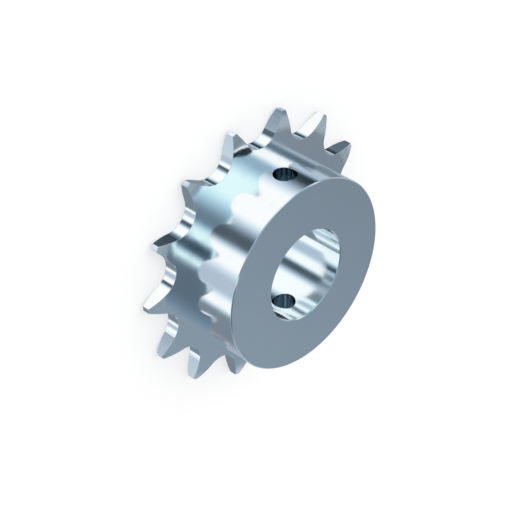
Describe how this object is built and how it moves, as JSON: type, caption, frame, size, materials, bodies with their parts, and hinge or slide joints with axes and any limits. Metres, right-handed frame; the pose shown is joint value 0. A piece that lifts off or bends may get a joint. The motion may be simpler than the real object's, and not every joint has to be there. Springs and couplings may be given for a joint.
{
  "type": "chain sprocket",
  "caption": "Roller chain sprocket with a hub on one side, a plain round bore and set-screw holes across the hub.",
  "frame": {"origin": "centre of the flat back of the toothed plate, on the bore axis", "axes": "+Z along the bore from the flat back towards the hub's free end, +Y through a tooth gap and along the set-screw holes"},
  "size_m": [0.0606, 0.0594, 0.0156],
  "materials": {
    "steel": "bright turned steel with a cool polished sheen"
  },
  "bodies": {
    "root": {"sprocket": "steel"}
  },
  "joints": []
}
